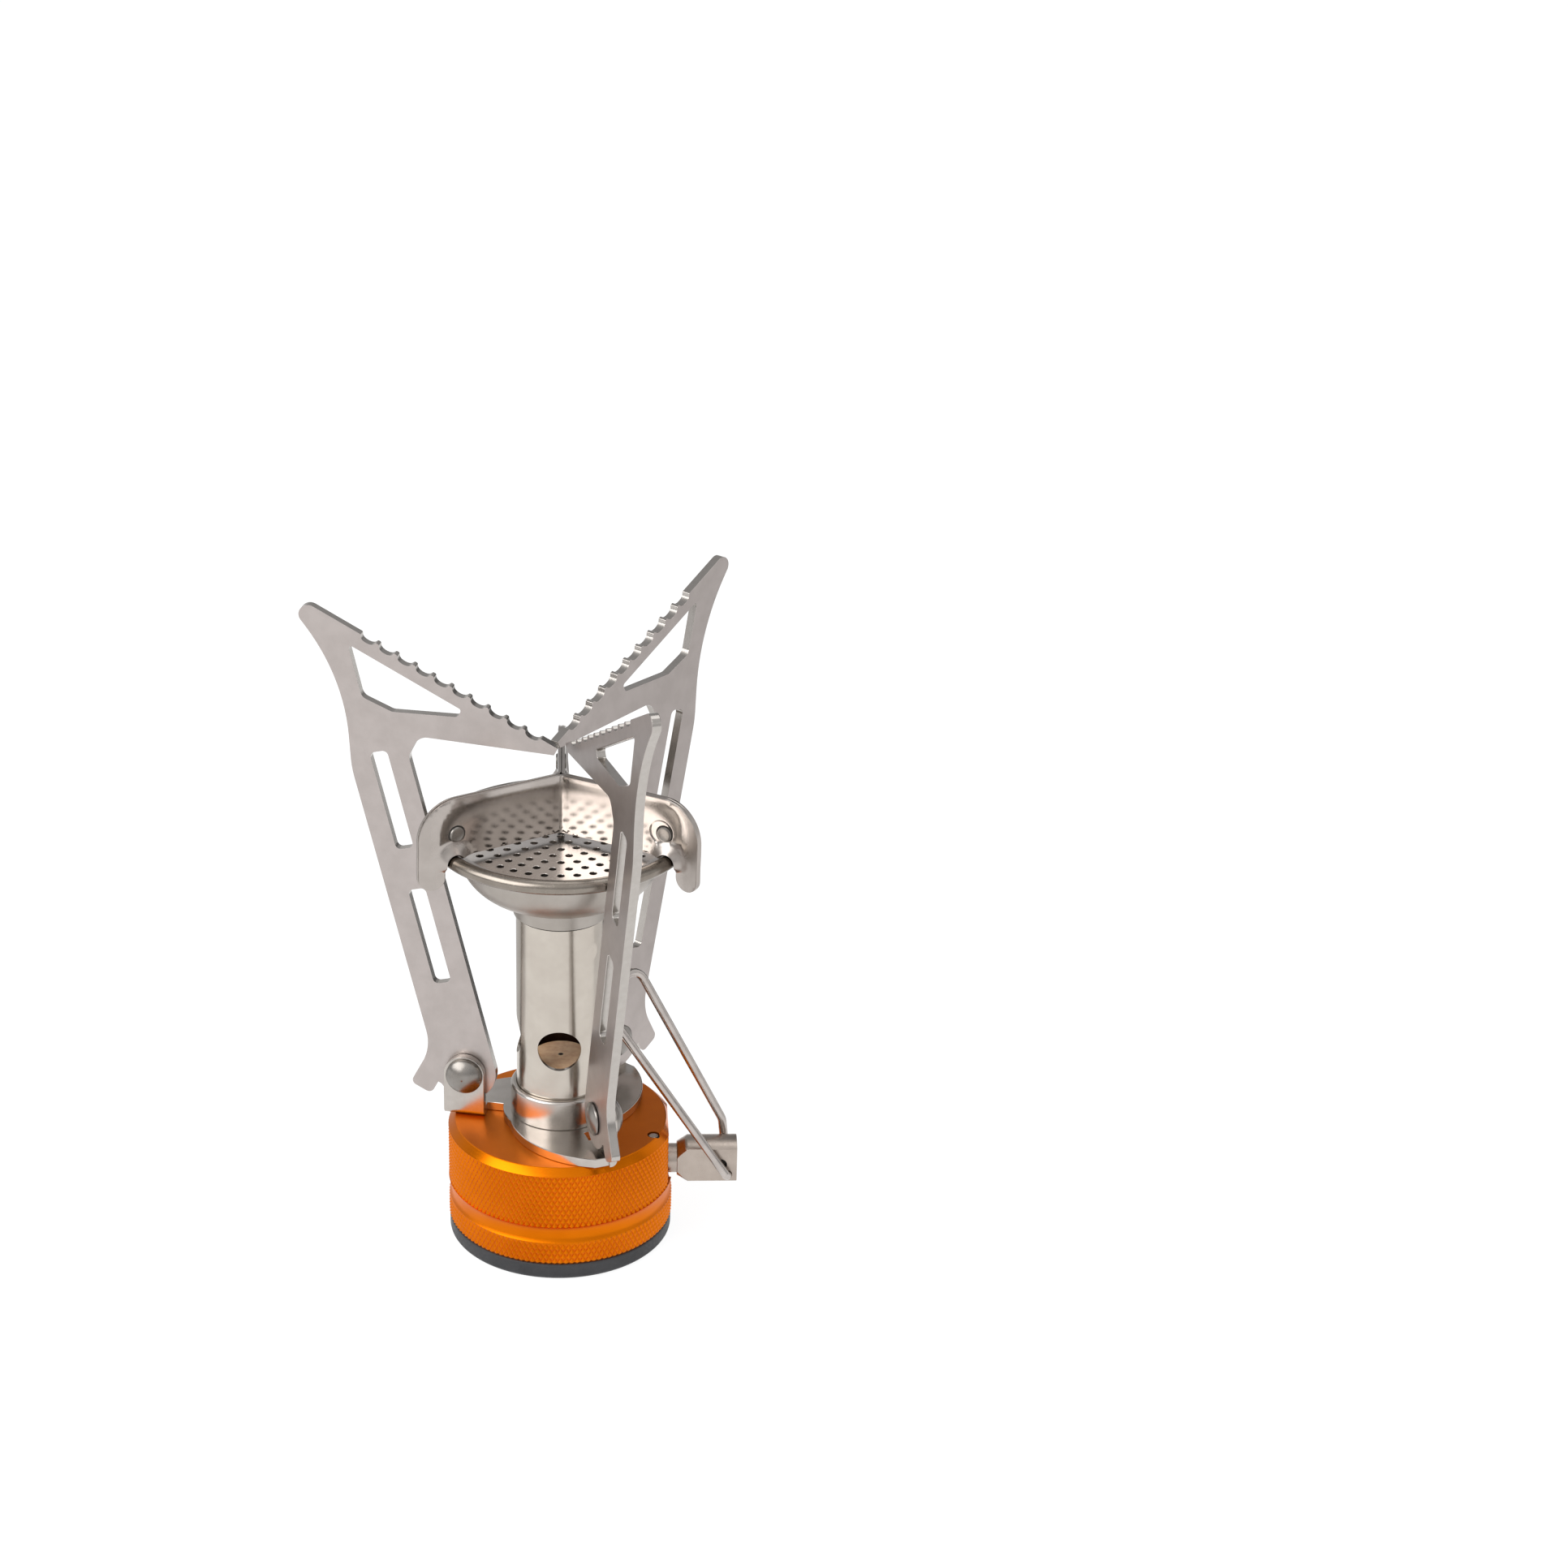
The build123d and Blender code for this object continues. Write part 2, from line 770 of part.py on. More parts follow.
def wing_face():
    # The notch over the rim ends halfway into the wall of the saddle that lines it
    notch = bead_hole + sheet / 2
    tip_radius = (wing_outer - bead_centre_radius - notch) / 2
    tip_centre = wing_outer - tip_radius
    ear_inside_edge = bead_centre_radius + notch
    corner = wing_corner_radius * (1 - math.sqrt(0.5))
    drop = wing_bottom - bead_z
    bead_entry = bead_centre_radius - math.sqrt(notch**2 - drop**2)
    return make_face([
        Polyline(
            (bead_entry, wing_bottom),
            (0, wing_bottom),
            (0, wing_top),
            (wing_outer - wing_corner_radius, wing_top),
        ),
        ThreePointArc(
            (wing_outer - wing_corner_radius, wing_top),
            (wing_outer - corner, wing_top - corner),
            (wing_outer, wing_top - wing_corner_radius),
        ),
        Line((wing_outer, wing_top - wing_corner_radius), (wing_outer, ear_tip_z + tip_radius)),
        ThreePointArc(
            (wing_outer, ear_tip_z + tip_radius),
            (tip_centre, ear_tip_z),
            (ear_inside_edge, ear_tip_z + tip_radius),
        ),
        Line((ear_inside_edge, ear_tip_z + tip_radius), (ear_inside_edge, bead_z)),
        ThreePointArc(
            (ear_inside_edge, bead_z),
            (bead_centre_radius, bead_z + notch),
            (bead_entry, wing_bottom),
        ),
    ])


def saddle_face():
    a = math.radians(saddle_inner_angle)
    outer = bead_hole + sheet

    def at(radius, angle):
        return (bead_centre_radius + radius * math.cos(angle), bead_z + radius * math.sin(angle))

    return make_face([
        ThreePointArc(at(bead_hole, 0), at(bead_hole, a / 2), at(bead_hole, a)),
        Line(at(bead_hole, a), at(outer, a)),
        ThreePointArc(at(outer, a), at(outer, a / 2), at(outer, 0)),
        Polyline(
            at(outer, 0),
            (bead_centre_radius + outer, bead_z - saddle_skirt),
            (bead_centre_radius + bead_hole, bead_z - saddle_skirt),
            at(bead_hole, 0),
        ),
    ])


def wing_plane(azimuth):
    a = math.radians(azimuth)
    return Plane((0, 0, 0), x_dir=(math.cos(a), math.sin(a), 0), z_dir=(math.sin(a), -math.cos(a), 0))


def saddle_seam(plane, wing):
    # Edges where the saddle rises from the open side of the wing
    reach = bead_hole + sheet + seat_gap
    seam = []
    for edge in wing.edges():
        middle = plane.to_local_coords(edge @ 0.5)
        on_open_side = abs(middle.Z - sheet_gap - sheet) < seat_gap
        if on_open_side and abs(middle.X - bead_centre_radius) < reach and edge.length > 2 * sheet:
            seam.append(edge)
    return seam


def windshield_panel():
    # One V-bent sheet, drawn with its open side towards +X and mirrored about that plane
    half_sector = sector / 2
    plane = wing_plane(half_sector)
    flat = extrude(plane * Pos(0, 0, sheet_gap) * wing_face(), amount=sheet)
    hole_length = 4 * (sheet_gap + sheet)
    rivet_hole = plane * Pos(*wing_rivet_place, 0) * Cylinder(wing_rivet_radius + seat_gap, hole_length)
    start = math.degrees((sheet_gap + sheet / 2) / bead_centre_radius)
    span = math.degrees((sheet / 2 + saddle_round + saddle_land) / bead_centre_radius)
    saddle = revolve(wing_plane(half_sector - start) * saddle_face(), Axis.Z, -span)
    wing = fillet(saddle_seam(plane, flat + saddle), saddle_round)
    across = 2 * wing_outer
    half_space = Pos(0, across / 2, (wing_top + ear_tip_z) / 2) * Box(
        2 * across, across, 2 * (wing_top - ear_tip_z)
    )
    side = (wing - rivet_hole) & half_space
    return side + mirror(side, Plane.XZ)


def wing_rivet(azimuth):
    half = sheet_gap + sheet
    shaft = Cylinder(wing_rivet_radius, 2 * half)
    head = Pos(0, 0, half) * dome(
        wing_rivet_head_radius, wing_rivet_head_height, wing_rivet_head_rim
    )
    rivet = shaft + head + mirror(head, Plane.XY)
    return wing_plane(azimuth) * Pos(*wing_rivet_place, 0) * rivet


def main():
    wings = [wing_first_azimuth + sector * i for i in range(arm_count)]
    shapes = {
        "base_housing": base_housing(),
        "base_ring": base_ring(),
        "housing_pin": housing_pin(),
        "valve_block": valve_block(),
        "canister_seal": canister_seal(),
        "depressor_pin": depressor_pin(),
        "gland_nut": gland_nut(),
        "spindle_seal": spindle_seal(),
        "valve_spindle": valve_spindle(),
        "valve_knob": valve_knob(),
        "knob_pin": knob_pin(),
        "valve_handle": valve_handle(),
        "arm_bracket": arm_bracket(),
        "arm_rivets": Compound(children=[along_arm(arm_rivet(), i) for i in range(arm_count)]),
        "tube_collar": tube_collar(),
        "mixing_tube": mixing_tube(),
        "jet": jet(),
        "burner_cup": burner_cup(),
        "burner_plate": burner_plate(),
        "windshield_rivets": Compound(children=[wing_rivet(a) for a in wings]),
    }
    for i, side in enumerate(("right", "left", "front")):
        shapes["arm_" + side] = along_arm(pot_arm(), i)
        shapes["windshield_" + side] = Rot(0, 0, wings[i] - sector / 2) * windshield_panel()
    os.makedirs("parts", exist_ok=True)
    for node, shape in shapes.items():
        export_step(shape, "parts/" + node + ".step")


main()
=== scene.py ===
import json
import math

import bmesh
import bpy
from mathutils import Matrix, Vector, geometry


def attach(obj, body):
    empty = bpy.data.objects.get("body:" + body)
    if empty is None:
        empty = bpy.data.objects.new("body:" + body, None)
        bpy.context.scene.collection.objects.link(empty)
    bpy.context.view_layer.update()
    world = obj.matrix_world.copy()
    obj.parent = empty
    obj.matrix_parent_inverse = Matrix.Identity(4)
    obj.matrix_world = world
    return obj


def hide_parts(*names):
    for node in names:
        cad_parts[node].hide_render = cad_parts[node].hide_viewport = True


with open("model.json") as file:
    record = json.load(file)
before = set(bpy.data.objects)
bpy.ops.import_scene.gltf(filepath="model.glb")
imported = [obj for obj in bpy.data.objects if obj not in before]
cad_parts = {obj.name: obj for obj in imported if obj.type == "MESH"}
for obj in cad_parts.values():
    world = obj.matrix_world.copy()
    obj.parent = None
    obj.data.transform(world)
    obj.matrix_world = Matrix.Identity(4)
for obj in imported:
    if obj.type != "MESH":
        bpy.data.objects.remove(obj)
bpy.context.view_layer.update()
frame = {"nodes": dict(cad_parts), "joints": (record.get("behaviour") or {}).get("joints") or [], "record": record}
scene = bpy.context.scene
mm = 0.001  # the settings of the pieces are in millimetres and degrees
print("frame loaded:", len(frame["nodes"]), "nodes")


# Materials

def newMaterial(name):
    mat = bpy.data.materials.new(name)
    mat.use_nodes = True
    nodes = mat.node_tree.nodes
    shader = nodes["Principled BSDF"]
    coords = nodes.new("ShaderNodeTexCoord")
    return mat, nodes, mat.node_tree.links, shader, coords.outputs["Object"]


def stretched(nodes, links, coords, scale):
    mapping = nodes.new("ShaderNodeMapping")
    mapping.inputs["Scale"].default_value = scale
    links.new(coords, mapping.inputs["Vector"])
    return mapping.outputs["Vector"]


def noise(nodes, links, vector, scale, detail=3.0, rough=0.55):
    tex = nodes.new("ShaderNodeTexNoise")
    tex.inputs["Scale"].default_value = scale
    tex.inputs["Detail"].default_value = detail
    tex.inputs["Roughness"].default_value = rough
    links.new(vector, tex.inputs["Vector"])
    return tex.outputs["Fac"]


def ramp(nodes, links, fac, low, high, start=0.35, end=0.65):
    node = nodes.new("ShaderNodeValToRGB")
    node.color_ramp.elements[0].position = start
    node.color_ramp.elements[1].position = end
    node.color_ramp.elements[0].color = (*low, 1)
    node.color_ramp.elements[1].color = (*high, 1)
    links.new(fac, node.inputs["Fac"])
    return node.outputs["Color"]


def spread(nodes, links, fac, low, high, start=0.3, end=0.7, kind="LINEAR"):
    node = nodes.new("ShaderNodeMapRange")
    node.interpolation_type = kind
    node.inputs["From Min"].default_value = start
    node.inputs["From Max"].default_value = end
    node.inputs["To Min"].default_value = low
    node.inputs["To Max"].default_value = high
    links.new(fac, node.inputs["Value"])
    return node.outputs["Result"]


def bump(nodes, links, height, depth, under=None):
    node = nodes.new("ShaderNodeBump")
    node.inputs["Distance"].default_value = depth
    links.new(height, node.inputs["Height"])
    if under:
        links.new(under, node.inputs["Normal"])
    return node.outputs["Normal"]


def distanceTo(nodes, links, coords, place):
    away = nodes.new("ShaderNodeVectorMath")
    away.operation = "DISTANCE"
    away.inputs[1].default_value = place
    links.new(coords, away.inputs[0])
    return away.outputs["Value"]


def greater(nodes, links, first, second):
    node = nodes.new("ShaderNodeMath")
    node.operation = "MAXIMUM"
    links.new(first, node.inputs[0])
    links.new(second, node.inputs[1])
    return node.outputs["Value"]


def shaded(nodes, links, colour, share):
    shade = nodes.new("ShaderNodeVectorMath")
    shade.operation = "SCALE"
    links.new(colour, shade.inputs[0])
    links.new(share, shade.inputs["Scale"])
    return shade.outputs["Vector"]


def dented(nodes, links, coords, dents, turned=None):
    # Normal of a surface with round pressed marks, each a place, the radii of its floor and rim, and a depth.
    # The marks end where the sheet is turned.
    normal = None
    for place, floor, rim, depth in dents:
        away = distanceTo(nodes, links, coords, place)
        height = spread(nodes, links, away, 0, 1, floor, rim, "SMOOTHSTEP")
        if turned:
            height = greater(nodes, links, height, turned)
        normal = bump(nodes, links, height, depth, normal)
    return normal


def withShadeSpots(nodes, links, coords, colour, shadeSpots, dark=0.03, core=0.7):
    # Colour darkened by painted shade inside round spots, each a place and a radius
    for place, radius in shadeSpots:
        away = distanceTo(nodes, links, coords, place)
        share = spread(nodes, links, away, dark, 1, core * radius, radius)
        colour = shaded(nodes, links, colour, share)
    return colour


def withShadeLines(nodes, links, coords, colour, lines, dark=0.12):
    # Colour darkened by painted shade along level lines, each a height and a half width
    for height, half in lines:
        parts = nodes.new("ShaderNodeSeparateXYZ")
        links.new(coords, parts.inputs["Vector"])
        near = nodes.new("ShaderNodeMath")
        near.operation = "COMPARE"
        near.inputs[1].default_value = height
        near.inputs[2].default_value = half
        links.new(parts.outputs["Z"], near.inputs[0])
        share = spread(nodes, links, near.outputs["Value"], 1, dark, 0, 1)
        colour = shaded(nodes, links, colour, share)
    return colour


noiseDetail = {"patches": 4.0, "streaks": (5.0, 0.65)}


def metalFinish(name, look):
    # Patches vary the colour, streaks vary the roughness and give the grain its relief
    mat, nodes, links, shader, coords = newMaterial(name)
    shader.inputs["Metallic"].default_value = look.get("metallic", 1.0)
    patches = noise(nodes, links, coords, look["patchScale"], noiseDetail["patches"])
    colour = ramp(nodes, links, patches, look["dark"], look["light"])
    # Painted shade along level lines where parts meet, and in round spots
    colour = withShadeLines(nodes, links, coords, colour, look.get("lines", ()))
    colour = withShadeSpots(nodes, links, coords, colour, look.get("shadeSpots", ()))
    links.new(colour, shader.inputs["Base Color"])
    drawn = stretched(nodes, links, coords, look["stretch"])
    streaks = noise(nodes, links, drawn, look["grainScale"], *noiseDetail["streaks"])
    rough = spread(nodes, links, streaks, *look["rough"])
    turned = None
    if "turnedRough" in look:
        mark = nodes.new("ShaderNodeAttribute")
        mark.attribute_name = "turned"
        turned = mark.outputs["Fac"]
        extra = nodes.new("ShaderNodeMath")
        extra.operation = "MULTIPLY_ADD"
        extra.inputs[1].default_value = look["turnedRough"]
        links.new(turned, extra.inputs[0])
        links.new(rough, extra.inputs[2])
        rough = extra.outputs["Value"]
    links.new(rough, shader.inputs["Roughness"])
    under = dented(nodes, links, coords, look.get("dents", ()), turned)
    links.new(bump(nodes, links, streaks, look["depth"], under), shader.inputs["Normal"])
    return mat


def around(radius, azimuth, height):
    a = math.radians(azimuth)
    return Vector((radius * math.cos(a), radius * math.sin(a), height)) * mm


def wingSpot(radius, azimuth, height, side):
    # Point on one side of a wing of the windshield
    a = math.radians(azimuth)
    return around(radius, azimuth, height) + Vector((-math.sin(a), math.cos(a), 0)) * side * mm


# A mark's floor radius, rim radius and depth
punchMarks = {"azimuths": (312, 132), "radius": 7.4, "height": 54.6, "mark": (0.4 * mm, 1.8 * mm, 0.15 * mm)}
rivetDimples = {
    "azimuths": (90, 210, 330), "radius": 18.8, "height": 78.1, "side": -6.5,
    "mark": (6.18 * mm, 6.36 * mm, 0.15 * mm),
}

finishes = {
    "satinPlate": {
        "dark": (0.455, 0.41, 0.39), "light": (0.495, 0.447, 0.427), "patchScale": 320.0,
        "stretch": (1.0, 1.0, 0.2), "grainScale": 5200.0, "rough": (0.30, 0.40), "depth": 0.0012 * mm,
    },
    "shearedEdge": {
        "dark": (0.48, 0.45, 0.42), "light": (0.51, 0.48, 0.45), "patchScale": 900.0,
        "stretch": (1.0, 1.0, 1.0), "grainScale": 5200.0, "rough": (0.18, 0.23), "depth": 0.0003 * mm,
    },
    "polishedSteel": {
        "dark": (0.47, 0.435, 0.40), "light": (0.54, 0.50, 0.465), "patchScale": 260.0,
        "stretch": (1.0, 1.0, 1.0), "grainScale": 4800.0, "rough": (0.20, 0.27), "depth": 0.0003 * mm,
    },
    # Steel coloured much darker than the other steel as painted shade, toning down the bright reflection on the
    # rivets' domes
    "rivetSteelPaintedShade": {
        "dark": (0.25, 0.23, 0.21), "light": (0.30, 0.28, 0.26), "patchScale": 400.0,
        "stretch": (1.0, 1.0, 1.0), "grainScale": 4800.0, "rough": (0.26, 0.34), "depth": 0.0006 * mm,
    },
    "tubeSteel": {
        "dark": (0.53, 0.48, 0.425), "light": (0.59, 0.54, 0.48), "patchScale": 160.0,
        "stretch": (0.15, 0.15, 1.0), "grainScale": 7000.0, "rough": (0.17, 0.25), "depth": 0.0004 * mm,
        "dents": [(around(punchMarks["radius"], a, punchMarks["height"]), *punchMarks["mark"])
                  for a in punchMarks["azimuths"]],
        # Painted contact shadow on the tube just under the edge of the cup's neck
        "lines": [(59.34 * mm, 0.19 * mm)],
    },
    # The bore of the tube is coloured far darker than its outside as painted shade
    "borePaintedShade": {
        "dark": (0.09, 0.06, 0.048), "light": (0.15, 0.105, 0.085), "patchScale": 300.0,
        "stretch": (0.15, 0.15, 1.0), "grainScale": 5000.0, "rough": (0.28, 0.36), "depth": 0.0004 * mm,
    },
    "cupSteel": {
        "dark": (0.40, 0.365, 0.33), "light": (0.46, 0.425, 0.39), "patchScale": 200.0,
        "stretch": (1.0, 1.0, 1.0), "grainScale": 5600.0, "rough": (0.34, 0.42), "depth": 0.0005 * mm,
        # Painted shade line on the cup at the top of its neck
        "lines": [(62.9 * mm, 0.17 * mm)],
    },
    # The bead of the cup's rim is coloured darker than the cup as painted shade, toning down its bright
    # reflections
    "rimPaintedShade": {
        "dark": (0.245, 0.215, 0.185), "light": (0.30, 0.265, 0.23), "patchScale": 260.0,
        "stretch": (1.0, 1.0, 1.0), "grainScale": 5600.0, "rough": (0.23, 0.28), "depth": 0.0001 * mm,
    },
    "plateSheet": {
        "dark": (0.70, 0.65, 0.61), "light": (0.77, 0.72, 0.68), "patchScale": 240.0,
        "stretch": (1.0, 1.0, 1.0), "grainScale": 5200.0, "rough": (0.20, 0.28), "depth": 0.0004 * mm,
    },
    "thinSheet": {
        "dark": (0.43, 0.39, 0.36), "light": (0.49, 0.447, 0.415), "patchScale": 200.0,
        "stretch": (1.0, 1.0, 0.3), "grainScale": 6000.0, "rough": (0.10, 0.15), "depth": 0.0002 * mm,
        "turnedRough": 0.19,
        "dents": [(wingSpot(rivetDimples["radius"], a, rivetDimples["height"], rivetDimples["side"]),
                   *rivetDimples["mark"]) for a in rivetDimples["azimuths"]],
    },
    "wireSteel": {
        "dark": (0.46, 0.42, 0.395), "light": (0.56, 0.515, 0.485), "patchScale": 300.0,
        "stretch": (0.3, 1.0, 0.3), "grainScale": 5200.0, "rough": (0.18, 0.28), "depth": 0.0006 * mm,
    },
    "turnedSteel": {
        "dark": (0.42, 0.36, 0.315), "light": (0.49, 0.425, 0.375), "patchScale": 260.0,
        "stretch": (1.0, 0.12, 0.12), "grainScale": 6500.0, "rough": (0.26, 0.36), "depth": 0.0005 * mm,
    },
    # Near-black painted shade for gaps, holes and edges that lie in the dark
    "paintedShade": {
        "dark": (0.018, 0.015, 0.012), "light": (0.04, 0.034, 0.028), "patchScale": 600.0, "metallic": 0.0,
        "stretch": (1.0, 1.0, 1.0), "grainScale": 3000.0, "rough": (0.5, 0.7), "depth": 0.001 * mm,
    },
    "brass": {
        "dark": (0.52, 0.36, 0.17), "light": (0.66, 0.48, 0.25), "patchScale": 500.0,
        "stretch": (1.0, 1.0, 1.0), "grainScale": 4200.0, "rough": (0.28, 0.42), "depth": 0.001 * mm,
    },
    # The jet's coppery tone is made much lighter than its own as painted light, for the light that reaches it
    # through the air holes
    "jetPaintedLight": {
        "dark": (0.80, 0.46, 0.25), "light": (0.96, 0.64, 0.39), "patchScale": 900.0, "metallic": 0.0,
        "stretch": (1.0, 1.0, 1.0), "grainScale": 3600.0, "rough": (0.4, 0.6), "depth": 0.002 * mm,
        # Painted shade in the jet's orifice
        "shadeSpots": [(Vector((0, 0, 32.6)) * mm, 0.5 * mm)],
    },
}
metal = {name: metalFinish(name, look) for name, look in finishes.items()}


def orangeAnodised(name, rough, depth):
    look = {
        "dark": (0.66, 0.152, 0.0015), "light": (0.74, 0.18, 0.003), "patchScale": 90.0,
        "turnScale": 7000.0, "rough": rough, "depth": depth * mm,
    }
    mat, nodes, links, shader, coords = newMaterial(name)
    shader.inputs["Metallic"].default_value = 1.0
    patches = noise(nodes, links, coords, look["patchScale"])
    links.new(ramp(nodes, links, patches, look["dark"], look["light"]), shader.inputs["Base Color"])
    away = nodes.new("ShaderNodeVectorMath")
    away.operation = "LENGTH"
    links.new(stretched(nodes, links, coords, (1.0, 1.0, 0.0)), away.inputs[0])
    turns = nodes.new("ShaderNodeTexNoise")
    turns.noise_dimensions = "1D"
    turns.inputs["Scale"].default_value = look["turnScale"]
    links.new(away.outputs["Value"], turns.inputs["W"])
    links.new(spread(nodes, links, turns.outputs["Fac"], *look["rough"]), shader.inputs["Roughness"])
    links.new(bump(nodes, links, turns.outputs["Fac"], look["depth"]), shader.inputs["Normal"])
    return mat


def rubberFinish():
    look = {
        "dark": (0.020, 0.021, 0.024), "light": (0.038, 0.039, 0.043), "patchScale": 150.0,
        "grainScale": 2200.0, "grainDetail": 4.0, "rough": (0.45, 0.62), "depth": 0.01 * mm,
    }
    mat, nodes, links, shader, coords = newMaterial("blackRubber")
    patches = noise(nodes, links, coords, look["patchScale"])
    links.new(ramp(nodes, links, patches, look["dark"], look["light"]), shader.inputs["Base Color"])
    grain = noise(nodes, links, coords, look["grainScale"], look["grainDetail"])
    links.new(spread(nodes, links, grain, *look["rough"]), shader.inputs["Roughness"])
    links.new(bump(nodes, links, grain, look["depth"]), shader.inputs["Normal"])
    return mat


orangeSatin = orangeAnodised("orangeSatin", (0.36, 0.46), 0.0005)
orangeBright = orangeAnodised("orangeBright", (0.24, 0.27), 0.00006)
rubber = rubberFinish()
print("materials made:", len(bpy.data.materials))


# Pieces

sharpAngle = 24
weldDistance = 0.0005 * mm


def bodyOf(node):
    return next(b for b, members in frame["record"]["behaviour"]["bodies"].items() if node in members)


def bake(piece):
    shaped = piece.evaluated_get(bpy.context.evaluated_depsgraph_get())
    mesh = bpy.data.meshes.new_from_object(shaped)
    piece.modifiers.clear()
    piece.data = mesh


def makePiece(name, bm, materials, smooth=sharpAngle):
    mesh = bpy.data.meshes.new(name)
    bm.to_mesh(mesh)
    bm.free()
    mesh.shade_smooth()
    mesh.set_sharp_from_angle(angle=math.radians(smooth))
    for mat in materials:
        mesh.materials.append(mat)
    piece = bpy.data.objects.new(name, mesh)
    scene.collection.objects.link(piece)
    return piece


def standFor(piece, node):
    # Weighted normals keep the flat faces flat beside their rounded edges
    piece.modifiers.new("weights", "WEIGHTED_NORMAL").keep_sharp = True
    bake(piece)
    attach(piece, bodyOf(node))
    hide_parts(node)


def solidCopy(node, flat=0.4):
    # The node's solid as a welded mesh with its flat faces whole again
    bm = bmesh.new()
    bm.from_mesh(frame["nodes"][node].data)
    for layer in list(bm.loops.layers.uv):
        bm.loops.layers.uv.remove(layer)
    bmesh.ops.remove_doubles(bm, verts=bm.verts, dist=weldDistance)
    bmesh.ops.dissolve_limit(bm, angle_limit=math.radians(flat), verts=bm.verts, edges=bm.edges)
    for face in bm.faces:
        face.material_index = 0
    return bm


def breakEdges(bm, width, sharpest=35, segments=2):
    sharp = [e for e in bm.edges if e.is_manifold and e.calc_face_angle(0) > math.radians(sharpest)]
    bmesh.ops.bevel(bm, geom=sharp, offset=width, offset_type="OFFSET", affect="EDGES", segments=segments,
                    profile=0.5, material=-1, clamp_overlap=True)


def spinRound(bm, verts, edges, place, steps):
    bmesh.ops.spin(bm, geom=verts + edges, cent=place.translation, axis=place.to_3x3() @ Vector((0, 0, 1)),
                   angle=2 * math.pi, steps=steps, use_merge=True)


def lathe(bm, profile, place, steps=48):
    # Profile of radius, height and the material of the band up to the next point
    for (radius, height, kind), after in zip(profile, profile[1:]):
        older = set(bm.faces)
        points = ((radius, 0, height), (after[0], 0, after[1]))
        ends = [bm.verts.new(place @ (Vector(p) * mm)) for p in points]
        spinRound(bm, ends, [bm.edges.new(ends)], place, steps)
        for face in bm.faces:
            if face not in older:
                face.material_index = kind
    bmesh.ops.remove_doubles(bm, verts=bm.verts, dist=weldDistance)


edgeBreaks = {
    "base_ring": (0.25, rubber), "arm_rivets": (0.15, metal["rivetSteelPaintedShade"]),
    "tube_collar": (0.15, metal["polishedSteel"]), "jet": (0.12, metal["jetPaintedLight"]),
    "valve_knob": (0.12, metal["turnedSteel"]), "valve_spindle": (0.12, metal["turnedSteel"]),
    # The knob's pin is coloured near-black as painted shade
    "knob_pin": (0.1, metal["paintedShade"]), "arm_bracket": (0.15, metal["polishedSteel"]),
    "valve_block": (0.12, metal["brass"]),
}
for node, (width, mat) in edgeBreaks.items():
    bm = solidCopy(node)
    breakEdges(bm, width * mm)
    standFor(makePiece(node + "_dressed", bm, [mat]), node)

plateSettings = {"edge": 0.05, "crease": 12, "flat": 0.05}
bm = solidCopy("burner_plate", plateSettings["flat"])
breakEdges(bm, plateSettings["edge"] * mm)
plate = makePiece("burner_plate_dressed", bm, [metal["plateSheet"]], plateSettings["crease"])
standFor(plate, "burner_plate")

tubeSettings = {"edge": 0.12, "bore": 6.75}
bm = solidCopy("mixing_tube")
breakEdges(bm, tubeSettings["edge"] * mm)
# The faces of the bore get the painted shade
for face in bm.faces:
    spot = face.calc_center_median() / mm
    if math.hypot(spot.x, spot.y) < tubeSettings["bore"]:
        face.material_index = 1
standFor(makePiece("mixing_tube_dressed", bm, [metal["tubeSteel"], metal["borePaintedShade"]]), "mixing_tube")

cupSettings = {"edge": 0.08, "rimHeight": 72.0, "rimRadius": 18.9}
bm = solidCopy("burner_cup")
breakEdges(bm, cupSettings["edge"] * mm)
# The faces of the bead get the painted shade
for face in bm.faces:
    spot = face.calc_center_median() / mm
    if spot.z > cupSettings["rimHeight"] and math.hypot(spot.x, spot.y) > cupSettings["rimRadius"]:
        face.material_index = 1
standFor(makePiece("burner_cup_dressed", bm, [metal["cupSteel"], metal["rimPaintedShade"]]), "burner_cup")
print("turned and pressed pieces dressed")

armSettings = {
    "edge": 0.12, "faceTurn": 30, "tilt": 27.64, "edgeHeight": 61.07,
    "firstTooth": 17.1, "pitch": 3.37, "teeth": 10, "toothDepth": 1.6, "squeeze": 0.085,
}


def narrowCrests(bm, joint, s):
    # Moves the teeth's outline along the edge, so that the crests grow narrow and the gullets wide
    up = Vector((0, 0, 1))
    out = Vector(joint["axis"]).cross(up)
    a = math.radians(s["tilt"])
    along, rising = out * math.cos(a) + up * math.sin(a), up * math.cos(a) - out * math.sin(a)
    for vert in bm.verts:
        spot = (vert.co - Vector(joint["pos_m"])) / mm
        turn = (spot.dot(along) - s["firstTooth"]) / s["pitch"]
        if 0 < turn < s["teeth"] and spot.dot(rising) > s["edgeHeight"] - s["toothDepth"]:
            vert.co -= along * s["squeeze"] * s["pitch"] * math.sin(2 * math.pi * turn) * mm


for side in ("right", "left", "front"):
    node = "arm_" + side
    bm = solidCopy(node)
    joint = next(j for j in frame["joints"] if j["child"] == bodyOf(node))
    narrowCrests(bm, joint, armSettings)
    across = Vector(joint["axis"])
    for face in bm.faces:
        if abs(face.normal.dot(across)) < math.cos(math.radians(armSettings["faceTurn"])):
            face.material_index = 1
    breakEdges(bm, armSettings["edge"] * mm)
    standFor(makePiece(node + "_plate", bm, [metal["satinPlate"], metal["shearedEdge"]]), node)
print("pot supports dressed")

